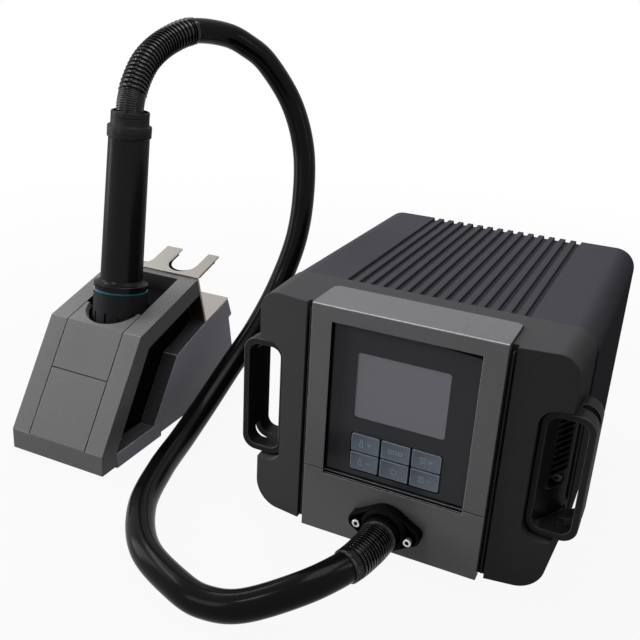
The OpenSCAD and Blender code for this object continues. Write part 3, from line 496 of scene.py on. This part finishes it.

# Sheet and moulded parts keep the solids' shape and get their edges broken. Boxes are two corners in
# millimetres from the station's or the stand's own origin. Faces inside a black or dark box get black or dark
# painted shade, on the walls of recesses, grooves, seams and openings; faces inside a bright box get the
# diamond-cut edge finish. Narrow moves the sides of a part inward, to open the gap beside it.

cutParts = {
    "housing": {"finish": "anodisedExtrusion", "break": 0.45},
    # Bezel and panels: the black boxes paint shade on the walls of the grooves, the display opening, the seam and
    # the notch
    "front_bezel": {"finish": "powderCoatCharcoal", "break": 0.4, "edge": "rubbedCharcoalEdge",
                    "black": (((-58.9, 2, 8), (-58, 34, 163)), ((58, 2, 8), (58.9, 34, 163)))},
    "centre_panel_upper": {"finish": "blastedAnodisedPlate", "break": 0.3, "edge": "rubbedPlateEdge",
                           "black": (((-45.7, 0.35, 53), (45.7, 2.9, 154.6)), ((-58, 0, 53), (58, 3, 54.1))),
                           "bright": (((-59, -0.1, 162.6), (59, 1.2, 164.5)),)},
    "centre_panel_lower": {"finish": "blastedAnodisedPlate", "break": 0.3, "edge": "rubbedPlateEdge",
                           "black": (((-45.7, 0.35, 50), (45.7, 2.9, 53.5)), ((-60, 1.5, 53), (60, 3, 53.5)))},
    "handle_left": {"finish": "mouldedAbs", "break": 0.5, "edge": "rubbedAbsEdge"},
    "handle_right": {"finish": "mouldedAbs", "break": 0.5, "edge": "rubbedAbsEdge"},
    "hose_flange": {"finish": "blackGlassNylon", "break": 0.8},
    # Stand: the black boxes paint shade on the walls of the recesses, the well and the gaps beside the front
    # plates; the dark boxes paint shade inside the well and on the block and base faces inside the stand
    "stand_shell": {"finish": "blastedStandPlate", "break": 0.4, "edge": "rubbedPlateEdge",
                    "black": (((28.4, 2, 12), (28.6, 125, 116)), ((-28.6, 2, 12), (-28.4, 125, 116)),
                              ((25.9, -14, 12), (26.1, 125, 116)), ((-26.1, -14, 12), (-25.9, 125, 116))),
                    "dark": (((-25.8, 60, 60), (25.8, 125, 113.4)),)},
    "stand_front_upper": {"finish": "blastedStandPlate", "break": 0.25, "narrow": 0.25,
                          "black": (((25, -20, 10), (26, 120, 120)), ((-26, -20, 10), (-25, 120, 120)))},
    "stand_front_lower": {"finish": "blastedStandPlate", "break": 0.25, "narrow": 0.25,
                          "black": (((25, -20, 10), (26, 120, 120)), ((-26, -20, 10), (-25, 120, 120)))},
    "stand_block": {"finish": "sprayedBluishGrey", "break": 0.4,
                    "dark": (((-41.3, 48, 12.2), (41.3, 121.2, 74.2)),)},
    "stand_base": {"finish": "sprayedBluishGrey", "break": 0.4, "dark": (((-41.4, 2.7, 12.2), (41.4, 58, 12.4)),)},
    "fork_bracket": {"finish": "brushedStainless", "break": 0.2},
    "fork_backing": {"finish": "mouldedPolycarbonate", "break": 0.2},
    "rear_panel": {"finish": "anodisedExtrusion", "break": 0.3},
    "mains_inlet": {"finish": "mouldedPolycarbonate", "break": 0.3},
    "fuse_drawer": {"finish": "mouldedPolycarbonate", "break": 0.3},
    "switch_frame": {"finish": "mouldedPolycarbonate", "break": 0.4},
    "power_rocker": {"finish": "mouldedRocker", "break": 0.4},
    "feet": {"finish": "dullRubber", "break": 0.4},
    "stand_feet": {"finish": "dullRubber", "break": 0.4},
    "handpiece_sleeve": {"finish": "mouldedPhenolic", "break": 0.15},
}


def insideBox(point, box):
    return all(box[0][k] <= point[k] <= box[1][k] for k in range(3))


def breakEdges(name, facts, angle=30):  # edges sharper than the angle are broken
    bm = bmesh.new()
    bm.from_mesh(nodes[name].data)
    bmesh.ops.remove_doubles(bm, verts=bm.verts, dist=0.002 * mm)
    bmesh.ops.dissolve_limit(bm, angle_limit=math.radians(0.5), verts=bm.verts, edges=bm.edges)
    origin = standAt if name.startswith("stand") else stationAt
    for vert in bm.verts:
        vert.co.x -= math.copysign(facts.get("narrow", 0) * mm, vert.co.x - origin.x)
    # The black and dark slots hold painted shade
    slots = {"body": facts["finish"], "black": "mouldedPolycarbonate", "edge": facts.get("edge", facts["finish"]),
             "bright": "diamondCutEdge", "dark": "powderCoatCharcoal"}
    slotOf = {key: number for number, key in enumerate(slots)}
    for face in bm.faces:
        centre = (face.calc_center_median() - origin) / mm
        for key in ("black", "dark", "bright"):
            if any(insideBox(centre, box) for box in facts.get(key, ())):
                face.material_index = slotOf[key]
                break
    edges = [e for e in bm.edges if len(e.link_faces) == 2 and e.calc_face_angle(0) > math.radians(angle)]
    # The bevel faces take the edge slot, which for parts with an edge finish is that paler colour, a painted
    # highlight
    bmesh.ops.bevel(bm, geom=edges, offset=facts["break"] * mm, offset_type="OFFSET", segments=2, profile=0.5,
                    affect="EDGES", clamp_overlap=False, material=slotOf["edge"])
    mesh = bpy.data.meshes.new(name + "_dressed")
    bm.to_mesh(mesh)
    bm.free()
    obj = addPiece(name + "_dressed", mesh, tuple(slots.values()), bodyOf[name], (name,), 34)
    obj.modifiers.new("even shading", "WEIGHTED_NORMAL").keep_sharp = True
    return obj


for name, facts in cutParts.items():
    breakEdges(name, facts)
print("edges broken:", len(cutParts))

# Display window with rounded openings for the display and for the block of keys

windowFacts = {"outer": (-47.4, 47.4, 51.6, 157.4), "display": (-28.8, 28.8, 94.9, 137.7), "displayRadius": 1.8,
               "keys": (-29.4, 29.4, 57.9, 84.5), "keysRadius": 1.4, "front": 3.0, "back": 4.6,
               "shadowStripOuter": (-45.4, 45.4, 53.7, 154.2), "shadowStripFront": 2.75,
               "shadowStripInner": ((-44.7, 54.4), (45.1, 54.4), (45.1, 150.3), (43.7, 151.2), (29, 152.3), (13, 153.6),
                               (-44.7, 153.8))}


def addWindow(facts):
    loops = [roundedLoop(*facts["outer"], (1, 1, 1, 1)),
             roundedLoop(*facts["display"], (facts["displayRadius"],) * 4, 8),
             roundedLoop(*facts["keys"], (facts["keysRadius"],) * 4, 8)]
    bm = plateWithWindows(loops[0], loops[1:], facts["front"], facts["back"])
    bm.normal_update()
    for face in bm.faces:
        face.material_index = 0 if abs(face.normal.y) > 0.5 else 1
    addPiece("display_window", finishMesh("display_window", bm), ("printedAcrylic", "mouldedPolycarbonate"),
             "station", ("display_glass",), 30, stationFrame)
    # Painted shadow: a black strip round the window, wider towards the upper right corner, where the panel's shadow
    # falls on the glass
    bm = plateWithWindows(roundedLoop(*facts["shadowStripOuter"], (0.5,) * 4), [facts["shadowStripInner"]],
                          facts["shadowStripFront"], facts["front"])
    addPiece("window_shadow_strip", finishMesh("window_shadow_strip", bm), "mouldedPolycarbonate", "station", (), 30,
             stationFrame)


addWindow(windowFacts)

# Keys, each with a paler rim, a painted highlight, and a plain mark: thermometer, air lines, standby, three places

keyFacts = {"width": 18.2, "height": 11.8, "pitchX": 19.7, "pitchZ": 13.1, "lowest": 64.7, "front": 2.7,
            "back": 5.3, "stem": 2, "stemBack": 10.2, "corner": 0.45, "blockCorner": 1.2, "rim": 0.14,
            "line": 0.42, "markScale": 1.3}
keyPlaces = {"key_temp_up": (-1, 1), "key_channel": (0, 1), "key_flow_up": (1, 1),
             "key_temp_down": (-1, 0), "key_power": (0, 0), "key_flow_down": (1, 0)}


def circlePart(x, z, r, start, end, steps):
    return [(x + r * math.cos(math.radians(start + (end - start) * k / steps)),
             z + r * math.sin(math.radians(start + (end - start) * k / steps))) for k in range(steps + 1)]


def keyMark(name):  # list of (points, closed) in the key's own X and Z, before scaling
    lines = []
    if "temp" in name:
        lines.append((circlePart(-1.9, -1.1, 0.95, 118, 422, 14) + circlePart(-1.9, 1.45, 0.45, 0, 180, 6), True))
    if "flow" in name:
        for z in (-1.25, 0, 1.25):
            lines.append(([(-3.2 + 0.3 * k, z + 0.3 * math.sin(k * math.pi / 3)) for k in range(11)], False))
    if "temp" in name or "flow" in name:
        lines.append(([(0.9, 0), (3.1, 0)], False))
    if "up" in name:
        lines.append(([(2.0, 0.22), (2.0, 1.1)], False))
        lines.append(([(2.0, -0.22), (2.0, -1.1)], False))
    if "power" in name:
        lines.append((circlePart(0, -0.1, 1.5, 130, 410, 22), False))
        lines.append(([(0, 0.1), (0, 1.9)], False))
    if "channel" in name:
        for x in (-2.5, 0, 2.5):
            lines.append((((x - 0.8, -0.8), (x + 0.8, -0.8), (x + 0.8, 0.8), (x - 0.8, 0.8)), True))
    return lines


def addKey(name, col, row, facts):
    x, z = col * facts["pitchX"], facts["lowest"] + row * facts["pitchZ"]
    at = Matrix.Translation(stationAt + Vector((x, 0, z)) * mm)
    w, h = facts["width"] / 2, facts["height"] / 2
    radii = [facts["corner"]] * 4
    if col:  # the corner that is also a corner of the block of six
        radii[{(-1, 0): 0, (1, 0): 1, (1, 1): 2, (-1, 1): 3}[(col, row)]] = facts["blockCorner"]

    def ring(inset, y):
        loop = roundedLoop(inset - w, w - inset, inset - h, h - inset, [max(0.15, r - inset) for r in radii])
        return [Vector((x, y, z)) * mm for x, z in loop]

    stemLoop = roundedLoop(-facts["stem"], facts["stem"], -facts["stem"], facts["stem"], (0.3,) * 4)
    stem = [[Vector((x, y, z)) * mm for x, z in stemLoop] for y in (facts["stemBack"], facts["back"])]
    front, rim = facts["front"], facts["rim"]
    rings = stem + [ring(0, facts["back"]), ring(0, front + 0.3), ring(0.08, front + 0.08), ring(0.22, front),
                    ring(0.22 + rim, front), ring(0.4 + rim, front + 0.06)]
    # Bands 4 and 5, the bevel and a thin band round each key's face, take the paler rim colour, a painted highlight
    bm = sweepRings(rings, bands=(4, 5))
    addPiece(name + "_cap", finishMesh(name + "_cap", bm), ("mouldedSilicone", "paleKeyRimHighlight"), bodyOf[name],
             (name,), 40, at)
    bm = bmesh.new()
    for points, closed in keyMark(name):
        scaled = [(facts["markScale"] * x, facts["markScale"] * z) for x, z in points]
        addRibbon(bm, scaled, facts["line"], front + 0.02, front + 0.08, closed)
    addPiece(name + "_mark", finishMesh(name + "_mark", bm), "padPrint", bodyOf[name], (), 30, at)


for name, (col, row) in keyPlaces.items():
    addKey(name, col, row, keyFacts)
print("display window and keys made")

# Cap screws on the hose flange: hex socket, knurled head, the right one not screwed home

screwFacts = {"x": 17.4, "z": 28.1, "radius": 2.75, "head": 3.0, "shank": 1.5, "socket": 1.3, "socketDeep": 1.6,
              "knurls": 30, "knurlDeep": 0.12, "places": ((-1, -6.2), (1, -9.4))}  # side, and where the head seats


def addFlangeScrews(facts):
    bm = bmesh.new()
    n = facts["knurls"] * 2

    def ring(y, r, knurl=0, sides=0):
        points = []
        for j in range(n):
            a = 2 * math.pi * j / n
            q = r - (knurl if j % 2 else 0)
            if sides:  # flat sided hole
                q = r * math.cos(math.pi / sides) / math.cos((a % (2 * math.pi / sides)) - math.pi / sides)
            points.append(Vector((q * math.cos(a), y, q * math.sin(a))))
        return points

    r, top, k = facts["radius"], -facts["head"], facts["knurlDeep"]
    rings = [ring(16, facts["shank"]), ring(0, facts["shank"]), ring(0, r - 0.2), ring(-0.2, r, k),
             ring(top + 0.75, r, k), ring(top + 0.55, r - 0.12), ring(top + 0.3, r - 0.14), ring(top, r - 0.45),
             ring(top, facts["socket"] + 0.45), ring(top + 0.2, facts["socket"] + 0.1, sides=6),
             ring(top + facts["socketDeep"], facts["socket"], sides=6)]
    # The socket's walls and floor take the black finish: painted shade in the hole
    socketFrom = len(rings) - 2
    for side, y in facts["places"]:
        shift = Vector((side * facts["x"], y, facts["z"]))
        loops = [[bm.verts.new((p + shift) * mm) for p in one] for one in rings]
        for number, (a, b) in enumerate(zip(loops, loops[1:])):
            for j in range(n):
                face = bm.faces.new((a[j], a[(j + 1) % n], b[(j + 1) % n], b[j]))
                face.material_index = 1 if number >= socketFrom else 0
        bm.faces.new(list(reversed(loops[0])))
        bm.faces.new(loops[-1]).material_index = 1
    addPiece("flange_cap_screws", finishMesh("flange_cap_screws", bm), ("turnedSteel", "mouldedPolycarbonate"),
             "station", ("flange_screws",), 35, stationFrame)


addFlangeScrews(screwFacts)

# Turned parts of the handpiece, in its own axis. The top ring leans 6 degrees, up towards the back and left.

topRing = {"lean": 6, "leanTo": (-0.43, 0.9), "profile": (
    (10.2, 148.5), (11.9, 148.5), (11.9, 152.6), (14.6, 152.6), (15.2, 153.0), (16.0, 153.9), (16.1, 154.3),
    (16.1, 156.1), (15.85, 156.3), (15.85, 156.7), (16.1, 156.9), (16.1, 161.3), (15.9, 161.7), (15.4, 162.0),
    (14.5, 162.1), (14.2, 162.3), (14.0, 162.8), (14.0, 167.4), (13.8, 167.6), (13.8, 168.0), (14.0, 168.2),
    (14.0, 171.2), (13.8, 171.8), (13.4, 172.1), (12.7, 172.1), (12.5, 171.8), (12.4, 160.0), (10.2, 160.0))}
accentRing = {"profile": (
    (16.0, 38.25), (20.1, 38.25), (20.1, 38.55), (20.3, 38.65), (20.3, 39.25), (20.1, 39.35), (16.0, 39.55))}

turnedPiece("top_ring_turned", topRing, "mouldedAbs", ("handpiece_top_ring",))
turnedPiece("accent_ring_turned", accentRing, "dyedPolycarbonate", ("accent_ring",))
print("handpiece turned")

# Solids that keep their own mesh

plainFinishes = {
    "base_tray": "zincPlate", "foot_screws": "turnedSteel", "handle_screws": "blackOxideSteel",
    "display_module": "polariserFilm", "control_board": "solderMask", "tact_switches": "zincPlate",
    "board_screws": "turnedSteel", "rear_screws": "turnedSteel",
    "air_filter": "filterFoam", "blower_volute": "mouldedPolycarbonate", "blower_impeller": "milledAluminium",
    "blower_motor": "zincPlate", "air_duct": "mouldedPolycarbonate", "power_board": "solderMask",
    "board_spacers": "turnedSteel", "heatsink": "milledAluminium", "transformer": "varnishedCore",
    "air_pipe": "mouldedPolycarbonate", "heater_tube": "brushedStainless", "heater_core": "firedCeramic",
    "nozzle": "brushedStainless", "heat_liner": "heatBluedSteel", "well_deck": "mouldedPolycarbonate",
    "handpiece_tube": "mouldedNylon", "handpiece_collar": "mouldedNylon",
}
for name, finish in plainFinishes.items():
    nodes[name].data.materials.clear()
    nodes[name].data.materials.append(material[finish])
print("solids finished:", len(plainFinishes))

# Floor, light and background. The left reflector is what the gloss shows of the left softbox, kept weaker.

lamps = {
    "left softbox": {"place": (-1.3, -0.30, 0.45), "aim": (0, 0, 0.1), "size": (0.6, 0.9), "power": 20,
                     "reflected": False},
    "left reflector": {"place": (-1.29, -0.30, 0.45), "aim": (0, 0, 0.1), "size": (0.45, 0.9), "power": 4.5},
    "front softbox": {"place": (-0.62, -1.12, 0.75), "aim": (0, 0, 0.1), "size": (0.35, 0.5), "power": 2.0},
    "rear softbox": {"place": (-0.7, 1.0, 0.9), "aim": (0, 0, 0.1), "size": (0.8, 0.6), "power": 16.5,
                     "reflected": False},
    "top softbox": {"place": (0.2, 0.1, 1.5), "aim": (0, 0, 0.1), "size": (1.0, 0.8), "power": 10},
    "right strip": {"place": (1.0, 0.0, 0.85), "aim": (0, -0.05, 0.12), "size": (0.05, 0.6), "power": 1.1},
    "upper left strip": {"place": (-0.88, 0.0, 0.95), "aim": (-0.05, -0.1, 0.1), "size": (0.8, 0.07), "power": 2.5},
    "upper front lamp": {"place": (-0.3, -0.8, 1.1), "aim": (-0.1, 0, 0.15), "size": (0.12, 0.12), "power": 1.3},
}


def addLamp(name, facts):
    data = bpy.data.lights.new(name, "AREA")
    data.shape = "RECTANGLE"
    data.size, data.size_y = facts["size"]
    data.energy = facts["power"]
    obj = bpy.data.objects.new(name, data)
    obj.location = facts["place"]
    obj.visible_glossy = facts.get("reflected", True)
    aim = Vector(facts["aim"]) - Vector(facts["place"])
    obj.rotation_euler = aim.to_track_quat("-Z", "Y").to_euler()
    bpy.context.scene.collection.objects.link(obj)


# The floor's own white is weaker near the object, where its shadow shows, and full from 1 m on

studioFacts = {"floorSize": 4, "floorDrop": 0.3, "paper": "#8c8c8c", "whiteNear": 0.93, "near": 0.35, "far": 1.0,
               "softWorld": 0.03}


def addSeenShare(tree):  # 1 for camera, glossy and transmission rays, which see plain white
    path = addNode(tree, "ShaderNodeLightPath")
    seen = addNode(tree, "ShaderNodeMath", {"operation": "MAXIMUM"},
                   {0: path.outputs["Is Camera Ray"], 1: path.outputs["Is Glossy Ray"]})
    return addNode(tree, "ShaderNodeMath", {"operation": "MAXIMUM"},
                   {0: seen.outputs[0], 1: path.outputs["Is Transmission Ray"]}).outputs[0]


def addFloor(facts):
    bm = bmesh.new()
    bmesh.ops.create_grid(bm, x_segments=2, y_segments=2, size=facts["floorSize"])
    mesh = bpy.data.meshes.new("studio_floor")
    bm.to_mesh(mesh)
    bm.free()
    paper = bpy.data.materials.new("matteWhitePaper")
    paper.use_nodes = True
    tree = paper.node_tree
    tree.nodes.clear()
    lit = addNode(tree, "ShaderNodeBsdfDiffuse", {"Color": toLinear(facts["paper"])})
    glow = addNode(tree, "ShaderNodeEmission", {"Color": (1, 1, 1, 1), "Strength": 1.0})
    place = addNode(tree, "ShaderNodeTexCoord").outputs["Object"]
    distance = addNode(tree, "ShaderNodeVectorMath", {"operation": "LENGTH"}, {0: place}).outputs["Value"]
    white = addNode(tree, "ShaderNodeMapRange", {"From Min": facts["near"], "From Max": facts["far"],
                    "To Min": facts["whiteNear"], "To Max": 1.0}, {"Value": distance})
    share = addNode(tree, "ShaderNodeMath", {"operation": "MULTIPLY"},
                    {0: addSeenShare(tree), 1: white.outputs["Result"]})
    mix = addNode(tree, "ShaderNodeMixShader", None,
                  {0: share.outputs[0], 1: lit.outputs[0], 2: glow.outputs[0]})
    addNode(tree, "ShaderNodeOutputMaterial", None, {"Surface": mix.outputs[0]})
    mesh.materials.append(paper)
    floor = bpy.data.objects.new("studio_floor", mesh)
    floor.location = (0, 0, -facts["floorDrop"] * mm)
    bpy.context.scene.collection.objects.link(floor)


def addWorld(facts):
    world = bpy.data.worlds.new("studio")
    bpy.context.scene.world = world
    world.use_nodes = True
    tree = world.node_tree
    tree.nodes.clear()
    soft = addNode(tree, "ShaderNodeBackground", {"Color": (1, 1, 1, 1), "Strength": facts["softWorld"]})
    white = addNode(tree, "ShaderNodeBackground", {"Color": (1, 1, 1, 1), "Strength": 1.0})
    mix = addNode(tree, "ShaderNodeMixShader", None,
                  {0: addSeenShare(tree), 1: soft.outputs[0], 2: white.outputs[0]})
    addNode(tree, "ShaderNodeOutputWorld", None, {"Surface": mix.outputs[0]})


addFloor(studioFacts)
addWorld(studioFacts)
for name, facts in lamps.items():
    addLamp(name, facts)
bpy.context.scene.view_settings.view_transform = "Standard"
print("studio lit")
